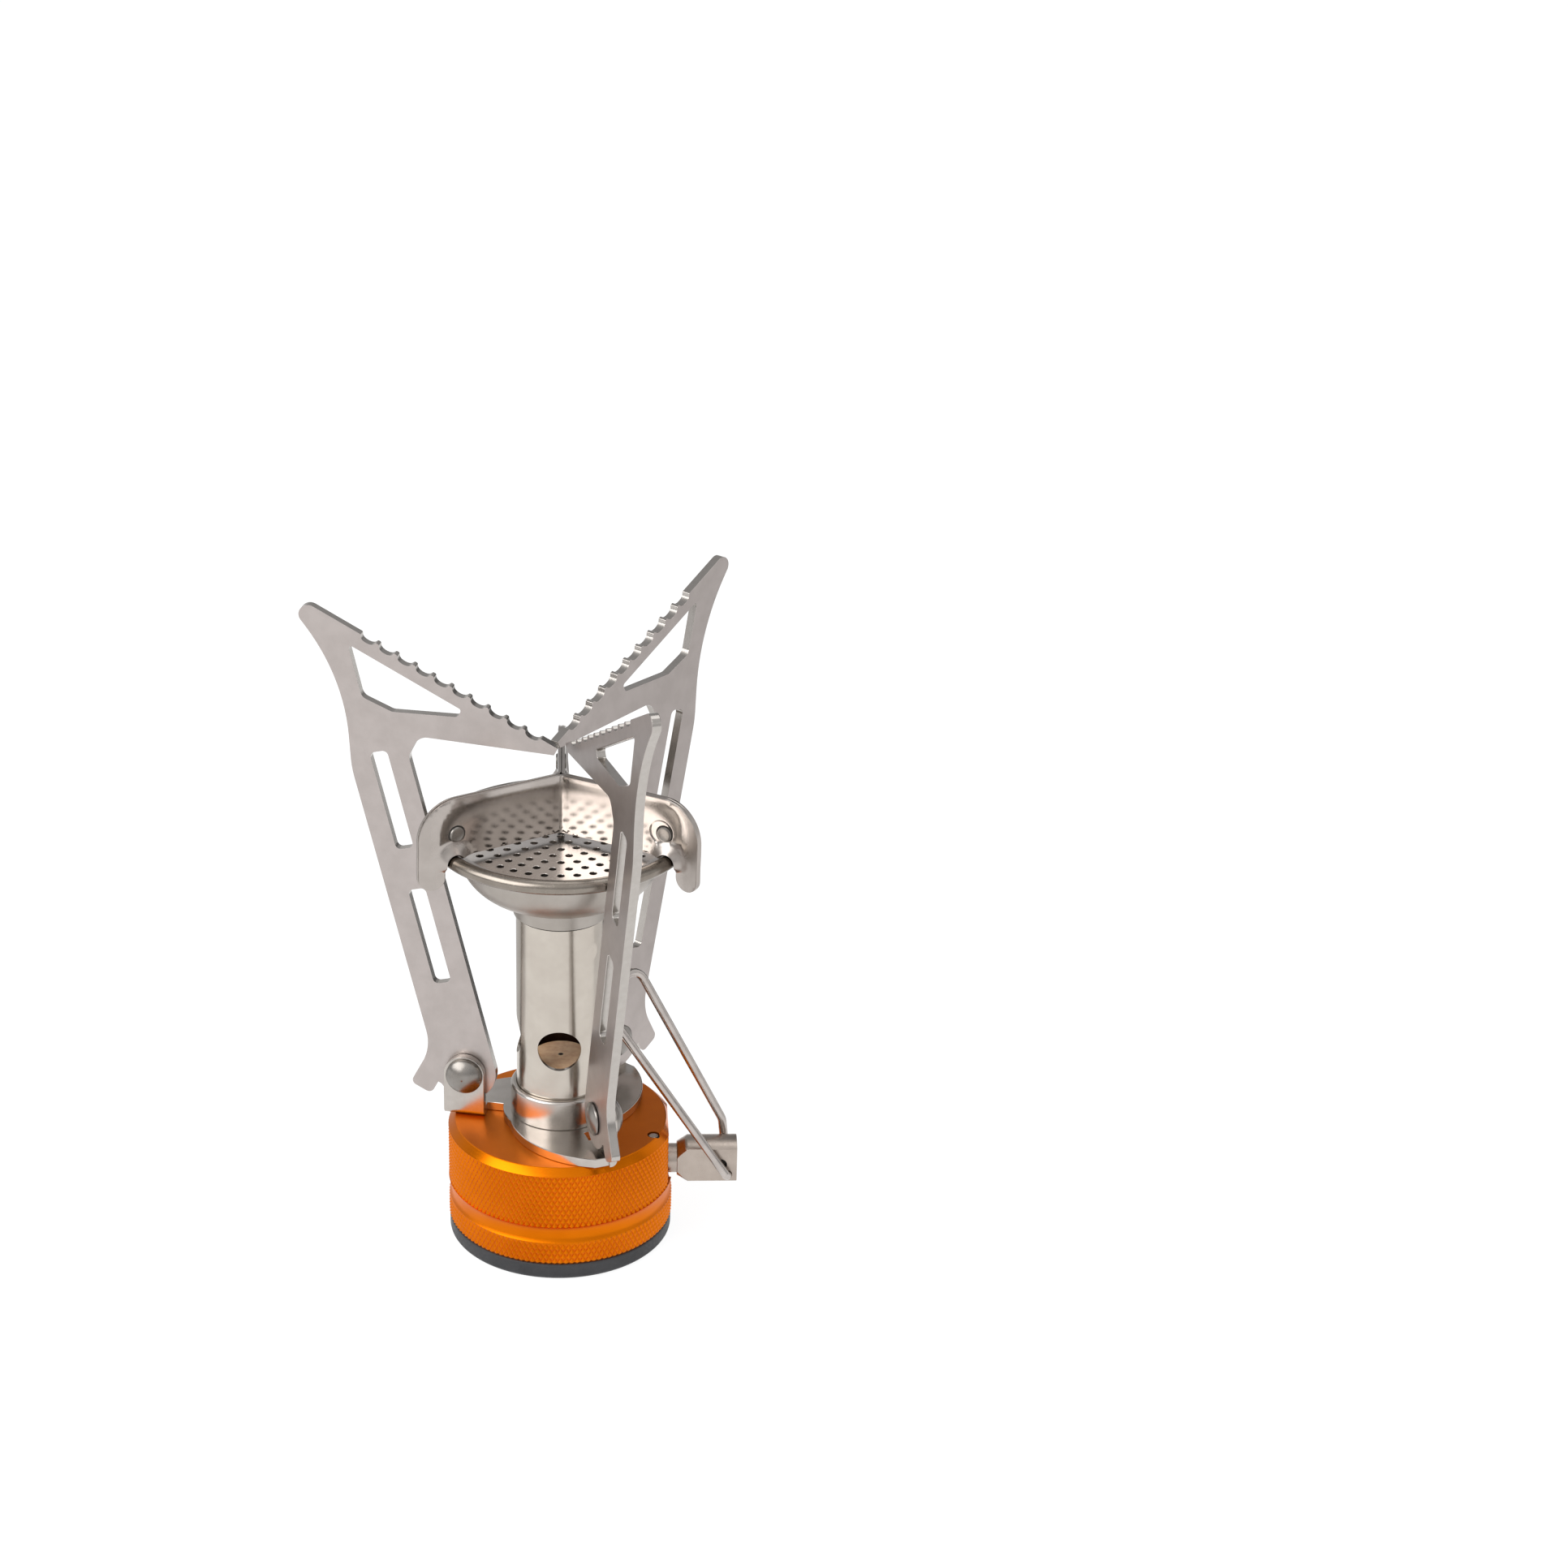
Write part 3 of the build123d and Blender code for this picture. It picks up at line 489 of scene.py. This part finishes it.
wingSettings = {
    "first": 30, "turn": 120, "halfSector": 60, "beadRadius": 20.1, "beadHeight": 73.17, "notch": 1.45,
    "bottom": 73.87, "top": 84.02, "outer": 25.8, "corner": 6.8, "earTip": 68.77, "sheet": 0.5, "middle": 0.3,
    "fold": 1.0, "rise": 1.15, "mouth": 2.7, "skirt": 1.6,
    # The band along the outer edge, and the rise at which the sheet counts as turned
    "band": 3.2, "topBand": 0.5, "earBand": 4.1, "earTop": 75.6, "earBlend": 2.5, "slope": 0.2, "curl": 1.25,
    "turnedRise": 0.25,
    # The net of points that the sheet is triangulated on
    "step": 0.4, "finer": 3, "grid": 0.75, "rings": (0.08, 0.18, 0.3, 0.44, 0.6, 0.78, 1.0), "ringGap": 0.2,
    "earSteps": 12, "earFrom": 2.6, "foldNet": (4, 13), "clear": 0.03, "tiny": 1e-6, "tolerance": 1e-5,
    # The broken edges, and where they lie in the dark between the two sheets of a wing
    "edge": 0.07, "sharpest": 60, "footTilt": -0.6, "footRise": 0.2, "footReach": 18.4, "darkFrom": 0.6,
    "darkTurn": (-0.93, -0.25),
}


def arcPoints(centre, radius, first, last, step):
    count = max(2, round(abs(last - first) * radius / step))
    turn = [first + (last - first) * i / count for i in range(count + 1)]
    return [(centre[0] + radius * math.cos(a), centre[1] + radius * math.sin(a)) for a in turn]


def stepped(points, step):
    # The same closed path with its long straight runs divided
    path = []
    for (x1, y1), (x2, y2) in zip(points, points[1:] + points[:1]):
        count = max(1, round(math.hypot(x2 - x1, y2 - y1) / step))
        path += [(x1 + (x2 - x1) * i / count, y1 + (y2 - y1) * i / count) for i in range(count)]
    return path


def wingOutline(w):
    # Half of the panel's outline, from the foot of its fold round the notch and ear to the top of the fold
    drop = w["bottom"] - w["beadHeight"]
    tip = (w["outer"] - w["beadRadius"] - w["notch"]) / 2
    bead = (w["beadRadius"], w["beadHeight"])
    entry = math.pi - math.asin(drop / w["notch"])
    path = arcPoints(bead, w["notch"], entry, 0, w["step"] / w["finer"])
    path += arcPoints((w["outer"] - tip, w["earTip"] + tip), tip, math.pi, 2 * math.pi, w["step"])
    corner = (w["outer"] - w["corner"], w["top"] - w["corner"])
    return path + arcPoints(corner, w["corner"], 0, math.pi / 2, w["step"])


def inOutline(x, y, path):
    inside = False
    for (x1, y1), (x2, y2) in zip(path, path[1:] + path[:1]):
        if (y1 > y) != (y2 > y) and x < x1 + (x2 - x1) * (y - y1) / (y2 - y1):
            inside = not inside
    return inside


def notchDistance(radius, height, w):
    if height < w["beadHeight"] and radius > w["beadRadius"]:
        return radius - w["beadRadius"] - w["notch"]
    return math.hypot(radius - w["beadRadius"], height - w["beadHeight"]) - w["notch"]


def sheetRise(radius, height, side, w):
    # How far the sheet leaves its plane: a bell mouth round the bead, and a band along the outer edge that is
    # turned the same way on both sheets of a wing
    share = 1 - min(1.0, max(0.0, notchDistance(radius, height, w) / w["mouth"]))
    foot = min(1.0, max(0.0, (height - w["beadHeight"] + w["skirt"]) / w["skirt"]))
    mouth = w["rise"] * share * share * foot * foot * (3 - 2 * foot)
    dx, dz = radius - w["outer"] + w["corner"], height - w["top"] + w["corner"]
    inside, band = w["outer"] - radius, w["band"]
    if dz > 0:
        inside = w["corner"] - (math.hypot(dx, dz) if dx > 0 else dz)
        band = w["topBand"] + (band - w["topBand"]) * max(dx, 0) ** 2 / (dx * dx + dz * dz)
    else:
        band += (w["earBand"] - band) * min(1.0, max(0.0, (w["earTop"] - height) / w["earBlend"]))
    return mouth + side * w["slope"] * band * min(1.0, max(0.0, 1 - inside / band)) ** w["curl"]


def sheetPoints(w):
    # Points inside one wing: rings round the notch, columns beside the ear's inner edge, and a grid
    points = []
    for share in w["rings"]:
        reach = w["notch"] + w["mouth"] * share
        step = w["step"] * (1 + share) / w["finer"]
        points += arcPoints((w["beadRadius"], w["beadHeight"]), reach, math.pi, 0, step)
        for i in range(1, w["earSteps"] + 1):
            points.append((w["beadRadius"] + reach, w["beadHeight"] - w["step"] * i / 2))
    columns = int(w["outer"] / w["grid"])
    rows = int((w["top"] - w["earTip"]) / w["grid"])
    for i in range(2, columns + 1):
        for j in range(1, rows + 1):
            x, y = i * w["grid"], w["earTip"] + j * w["grid"]
            if notchDistance(x, y, w) > w["mouth"] + w["ringGap"] or y < w["beadHeight"] - w["earFrom"]:
                points.append((x, y))
    return points


def windshieldPanel(node, middle, w):
    # The sheet is drawn flat, triangulated, folded along the burner axis and then given its thickness
    sector, bend = math.radians(w["halfSector"]), math.radians(90 - w["halfSector"])
    half = w["fold"] * bend
    shift = w["middle"] / math.tan(sector) + w["fold"] * math.tan(bend) - half
    spine = w["middle"] / math.sin(sector) + w["fold"] / math.cos(bend)
    right = [(0, w["bottom"])] + wingOutline(w) + [(0, w["top"])]
    path = stepped([(max(0, x - shift), y) for x, y in right], w["step"])
    path = [p for p in path if p[0] > w["tiny"] or p[1] in (w["bottom"], w["top"])]
    border = path + [(-x, y) for x, y in reversed(path) if x > w["tiny"]]
    inner = [(x - shift, y) for x, y in sheetPoints(w)]
    columns, rows = w["foldNet"]
    for i in range(columns + 1):
        inner += [(half * i / columns, w["bottom"] + w["grid"] * j) for j in range(1, rows + 1)]
    inner = [p for p in inner if inOutline(*p, path)]
    clear = [p for p in inner if min(math.hypot(p[0] - x, p[1] - y) for x, y in path) > w["clear"]]
    places = border + clear + [(-x, y) for x, y in clear if x > w["tiny"]]
    loop = [(i, (i + 1) % len(border)) for i in range(len(border))]
    flat = geometry.delaunay_2d_cdt([Vector(p) for p in places], loop, [], 1, w["tolerance"])

    def facing(turn):
        a = math.radians(middle + turn)
        return Vector((math.cos(a), math.sin(a), 0))

    bm = bmesh.new()
    verts = []
    for x, y in flat[0]:
        side = 1 if x >= 0 else -1
        turn = min(abs(x) / w["fold"], bend)
        normal = facing(-side * math.degrees(turn))
        base = facing(0) * spine - normal * w["fold"]
        rise = 0.0
        if abs(x) > half:
            base = facing(side * w["halfSector"]) * (abs(x) + shift) + normal * w["middle"]
            rise = sheetRise(abs(x) + shift, y, side, w)
        verts.append(bm.verts.new((base + normal * rise + Vector((0, 0, y))) * mm))
    for face in flat[2]:
        bm.faces.new([verts[i] for i in face])
    bmesh.ops.recalc_face_normals(bm, faces=bm.faces)
    piece = makePiece(node + "_sheet", bm, [metal["thinSheet"]])
    shell = piece.modifiers.new("shell", "SOLIDIFY")
    shell.thickness, shell.offset, shell.use_even_offset = w["sheet"] * mm, 0.0, True
    bake(piece)
    bm = bmesh.new()
    bm.from_mesh(piece.data)
    bpy.data.objects.remove(piece)
    breakEdges(bm, w["edge"] * mm, w["sharpest"])
    least, most = w["darkTurn"]
    for face in bm.faces:
        # The foot and the broken edge on the side of the other sheet lie in the dark and get painted shade
        spot = face.calc_center_median() / mm
        side = 1 if spot.dot(facing(w["halfSector"])) > spot.dot(facing(-w["halfSector"])) else -1
        foot = face.normal.z < w["footTilt"] and spot.z < w["bottom"] + w["footRise"]
        foot = foot and math.hypot(spot.x, spot.y) < w["footReach"]
        edge = least < face.normal.dot(facing(-side * (90 - w["halfSector"]))) < most
        if foot or edge and spot.z > w["bottom"] + w["darkFrom"]:
            face.material_index = 1
    turned = bm.verts.layers.float.new("turned")
    for vert in bm.verts:
        rise = sheetRise(math.hypot(vert.co.x, vert.co.y) / mm, vert.co.z / mm, 1, w)
        vert[turned] = min(1.0, rise / w["turnedRise"])
    standFor(makePiece(node + "_sheet", bm, [metal["thinSheet"], metal["paintedShade"]]), node)


for i, side in enumerate(("right", "left", "front")):
    windshieldPanel("windshield_" + side, wingSettings["first"] + wingSettings["turn"] * i, wingSettings)

wingRivets = {
    "radius": 19.4, "height": 77.87, "azimuths": (90, 210, 330),
    # Bands of kind 1 are a ring of painted shade round the foot of the head
    "head": [(0, 0.80, 0), (0.65, 0.80, 0), (1.0, 0.88, 0), (1.2, 0.84, 0), (1.3, 0.70, 1), (1.34, 0.575, 1),
             (1.52, 0.57, 1), (1.54, 0.552, 1), (0.8, 0.552, 0)],
}
bm = bmesh.new()
for azimuth in wingRivets["azimuths"]:
    a = math.radians(azimuth)
    out, along = Vector((math.cos(a), math.sin(a), 0)), Vector((math.sin(a), -math.cos(a), 0))
    place = Matrix((out, Vector((0, 0, 1)), along)).transposed().to_4x4()
    place.translation = around(wingRivets["radius"], azimuth, wingRivets["height"])
    head = wingRivets["head"]
    # The other end mirrors the head, band by band
    tail = [(r, -s, head[i - 1][2]) for i, (r, s, kind) in reversed(list(enumerate(head)))]
    lathe(bm, head + tail, place)
bmesh.ops.recalc_face_normals(bm, faces=bm.faces)
rivets = makePiece("windshield_rivets_turned", bm, [metal["rivetSteelPaintedShade"], metal["paintedShade"]])
standFor(rivets, "windshield_rivets")

pinSettings = {
    "radius": 17.1, "azimuth": -24.5, "hole": 1.04,
    # Bands of kind 1, the pin's side and the hole round it, are painted shade
    "profile": [(0, 20.9, 0), (0.6, 20.9, 0), (0.76, 20.84, 1), (0.76, 20.55, 1), (1.02, 20.55, 1),
                (1.02, 14.75, 1), (0, 14.75, 1)],
}
bm = bmesh.new()
place = Matrix.Translation(around(pinSettings["radius"], pinSettings["azimuth"], 0))
lathe(bm, pinSettings["profile"], place)
bmesh.ops.recalc_face_normals(bm, faces=bm.faces)
standFor(makePiece("housing_pin_turned", bm, [metal["turnedSteel"], metal["paintedShade"]]), "housing_pin")
print("windshield, its rivets and the pin made")

housingSettings = {
    "columns": 248, "depth": 0.27, "radius": 19.0, "flat": 18.2, "flatFrom": 10.21, "near": 0.01,
    "under": [(8.05, 3.0), (18.6, 3.0)], "lowerBand": (3.4, 6.9, 4),
    "waist": [(18.85, 7.15), (18.64, 7.45), (18.5, 7.9), (18.42, 8.5), (18.46, 9.1), (18.6, 9.65),
              (18.82, 10.02), (19.0, 10.2)],
    "upperBand": (10.22, 19.74, 11),
    "top": [(18.97, 19.82), (17.9, 20.9), (17.7, 21.0), (4.05, 21.0), (4.05, 17.05), (8.05, 17.05)],
}


def knurledHousing(h):
    # The profile is spun, every second point of the bands is pressed in, and a groove splits each of their
    # cells from corner to corner
    profile = list(h["under"])
    for band, after in (("lowerBand", "waist"), ("upperBand", "top")):
        low, high, steps = h[band]
        profile += [(h["radius"], low + (high - low) * i / steps) for i in range(steps + 1)] + h[after]
    bm = bmesh.new()
    ring = [bm.verts.new((radius * mm, 0, height * mm)) for radius, height in profile]
    edges = [bm.edges.new(pair) for pair in zip(ring, ring[1:] + ring[:1])]
    spinRound(bm, ring, edges, Matrix.Identity(4), h["columns"])
    chamfer, near = (h["top"][0][1], h["top"][1][1]), h["near"]
    for face in bm.faces:
        if chamfer[0] < face.calc_center_median().z / mm < chamfer[1]:
            face.material_index = 1
    grooves = []
    for vert in bm.verts:
        x, y, z = vert.co / mm
        column = round(math.atan2(y, x) / (2 * math.pi) * h["columns"])
        for low, high, steps in (h["lowerBand"], h["upperBand"]):
            step = round((z - low) / (high - low) * steps)
            onBand = low - near < z < high + near and math.hypot(x, y) > h["radius"] - near
            if onBand and (column + step) % 2:
                vert.co.xy *= 1 - h["depth"] / h["radius"]
                grooves.append(vert)
        if z > h["flatFrom"]:
            vert.co.x = min(vert.co.x, h["flat"] * mm)
    bmesh.ops.connect_verts(bm, verts=grooves)
    bmesh.ops.recalc_face_normals(bm, faces=bm.faces)
    return makePiece("housing_knurled", bm, [orangeSatin, orangeBright])


boreSettings = {
    "segments": 56, "glandRadius": 3.45, "glandLength": 14.0, "glandMiddle": (13.0, 0, 12.4),
    "pinLength": 8.0, "pinMiddle": 18.65,
}


def boreCutter(b, pin):
    lying = Matrix.Rotation(math.pi / 2, 4, "Y")
    glandPlace = Matrix.Translation(Vector(b["glandMiddle"]) * mm) @ lying
    pinPlace = Matrix.Translation(around(pin["radius"], pin["azimuth"], b["pinMiddle"]))
    bores = ((b["glandRadius"], b["glandLength"], glandPlace), (pin["hole"], b["pinLength"], pinPlace))
    bm = bmesh.new()
    for radius, length, place in bores:
        bmesh.ops.create_cone(bm, cap_ends=True, segments=b["segments"], radius1=radius * mm,
                              radius2=radius * mm, depth=length * mm, matrix=place)
    return makePiece("cutter", bm, [orangeSatin])


housing = knurledHousing(housingSettings)
cutter = boreCutter(boreSettings, pinSettings)
cut = housing.modifiers.new("bores", "BOOLEAN")
cut.operation = "DIFFERENCE"
cut.solver = "EXACT"
cut.object = cutter
bake(housing)
housing.data.set_sharp_from_angle(angle=math.radians(sharpAngle))
bpy.data.objects.remove(cutter)
standFor(housing, "base_housing")
print("housing knurled:", len(housing.data.polygons), "faces")

plainNodes = {
    "valve_handle": metal["wireSteel"], "gland_nut": metal["brass"], "canister_seal": rubber,
    "spindle_seal": rubber, "depressor_pin": metal["brass"],
}
for node, mat in plainNodes.items():
    frame["nodes"][node].data.materials.clear()
    frame["nodes"][node].data.materials.append(mat)
print("plain nodes finished")


# Stage, lamps and camera

def stageSheet(name, corners, mat):
    bm = bmesh.new()
    bm.faces.new([bm.verts.new(c) for c in corners])
    piece = makePiece(name, bm, [mat])
    return piece


floorSettings = {
    "level": -0.05 * mm, "half": 30.0, "tone": 0.82, "rough": 0.9, "glowShare": 0.8, "glow": 1.15,
}


def paleFloor(f):
    # The camera, reflections and glass see the glow, and the share that is left to the shader keeps the shadow
    mat, nodes, links, shader = newMaterial("paleFloor")[:4]
    shader.inputs["Base Color"].default_value = (f["tone"], f["tone"], f["tone"], 1)
    shader.inputs["Roughness"].default_value = f["rough"]
    shader.inputs["Specular IOR Level"].default_value = 0.0
    path = nodes.new("ShaderNodeLightPath")
    seen = path.outputs["Is Camera Ray"]
    for kind in ("Is Glossy Ray", "Is Transmission Ray"):
        seen = greater(nodes, links, seen, path.outputs[kind])
    share = nodes.new("ShaderNodeMath")
    share.operation = "MULTIPLY"
    share.inputs[1].default_value = f["glowShare"]
    links.new(seen, share.inputs[0])
    glow = nodes.new("ShaderNodeEmission")
    glow.inputs["Strength"].default_value = f["glow"]
    mixed = nodes.new("ShaderNodeMixShader")
    links.new(share.outputs["Value"], mixed.inputs["Fac"])
    links.new(shader.outputs["BSDF"], mixed.inputs[1])
    links.new(glow.outputs["Emission"], mixed.inputs[2])
    links.new(mixed.outputs["Shader"], nodes["Material Output"].inputs["Surface"])
    return mat


def greyCard(name, tone):
    mat = bpy.data.materials.new(name)
    mat.use_nodes = True
    nodes, links = mat.node_tree.nodes, mat.node_tree.links
    glow = nodes.new("ShaderNodeEmission")
    glow.inputs["Color"].default_value = (tone, tone, tone, 1)
    links.new(glow.outputs["Emission"], nodes["Material Output"].inputs["Surface"])
    return mat


reach = ((-1, -1), (1, -1), (1, 1), (-1, 1))
corners = [(x * floorSettings["half"], y * floorSettings["half"], floorSettings["level"]) for x, y in reach]
stageSheet("floor", corners, paleFloor(floorSettings))

# Two corners on the ground, the lower and upper edge, and the tone
cards = {
    "rightCard": ((0.075, 0.0), (0.075, 0.07), (0.0, 0.13), 0.8),
    "rightBackCard": ((0.036, 0.088), (0.11, 0.05), (0.0, 0.25), 0.12),
    "backCard": ((-0.085, 0.015), (-0.012, 0.088), (0.0, 0.12), 0.62),
    "rightFrontCard": ((0.25, -0.36), (0.45, -0.02), (0.10, 0.40), 0.85),
}
for name, ((x1, y1), (x2, y2), (low, high), tone) in cards.items():
    corners = [(x1, y1, low), (x2, y2, low), (x2, y2, high), (x1, y1, high)]
    card = stageSheet(name, corners, greyCard(name, tone))
    card.visible_camera = card.visible_diffuse = card.visible_shadow = False


def softBox(name, place, target, size, power):
    lamp = bpy.data.lights.new(name, "AREA")
    lamp.shape = "RECTANGLE"
    lamp.size, lamp.size_y = size
    lamp.energy = power
    obj = bpy.data.objects.new(name, lamp)
    obj.location = place
    obj.rotation_euler = (Vector(target) - Vector(place)).to_track_quat("-Z", "Y").to_euler()
    scene.collection.objects.link(obj)


# Place, target, size and power
lamps = {
    "keyBox": ((-0.66, -0.42, 0.60), (0, 0, 0.05), (0.9, 0.7), 6.5),
    "topBox": ((0.15, 0.20, 1.0), (0, 0, 0.05), (0.7, 0.5), 1.2),
}
for name, (place, target, size, power) in lamps.items():
    softBox(name, place, target, size, power)


worldSettings = {
    "brightSide": (-0.25, -0.55, 0.80), "dim": (0.40, 0.40, 0.405), "bright": (1.0, 1.0, 1.0),
    "range": (0.5, 0.98),
}


def studioWorld(s):
    world = bpy.data.worlds.new("studio")
    scene.world = world
    world.use_nodes = True
    nodes, links = world.node_tree.nodes, world.node_tree.links
    coords = nodes.new("ShaderNodeTexCoord")
    facing = nodes.new("ShaderNodeVectorMath")
    facing.operation = "DOT_PRODUCT"
    facing.inputs[1].default_value = Vector(s["brightSide"]).normalized()
    links.new(coords.outputs["Generated"], facing.inputs[0])
    tone = ramp(nodes, links, facing.outputs["Value"], s["dim"], s["bright"], *s["range"])
    links.new(tone, nodes["Background"].inputs["Color"])
    # Beyond the floor the camera sees white
    path = nodes.new("ShaderNodeLightPath")
    white = nodes.new("ShaderNodeBackground")
    white.inputs["Color"].default_value = (1, 1, 1, 1)
    mixed = nodes.new("ShaderNodeMixShader")
    links.new(path.outputs["Is Camera Ray"], mixed.inputs["Fac"])
    links.new(nodes["Background"].outputs["Background"], mixed.inputs[1])
    links.new(white.outputs["Background"], mixed.inputs[2])
    links.new(mixed.outputs["Shader"], nodes["World Output"].inputs["Surface"])


studioWorld(worldSettings)
scene.view_settings.view_transform = "Standard"

cameraSettings = {
    "place": (0.00054, -0.47353, 0.2899), "turn": (66.36862, -1.64440, -3.58753),
    "lens": 73.12683, "sensor": 36.0, "near": 0.01,
}
camera = bpy.data.objects.new("camera", bpy.data.cameras.new("camera"))
camera.location = cameraSettings["place"]
camera.rotation_euler = [math.radians(a) for a in cameraSettings["turn"]]
camera.data.lens = cameraSettings["lens"]
camera.data.sensor_width = cameraSettings["sensor"]
camera.data.clip_start = cameraSettings["near"]
scene.collection.objects.link(camera)
scene.camera = camera
print("stage set")
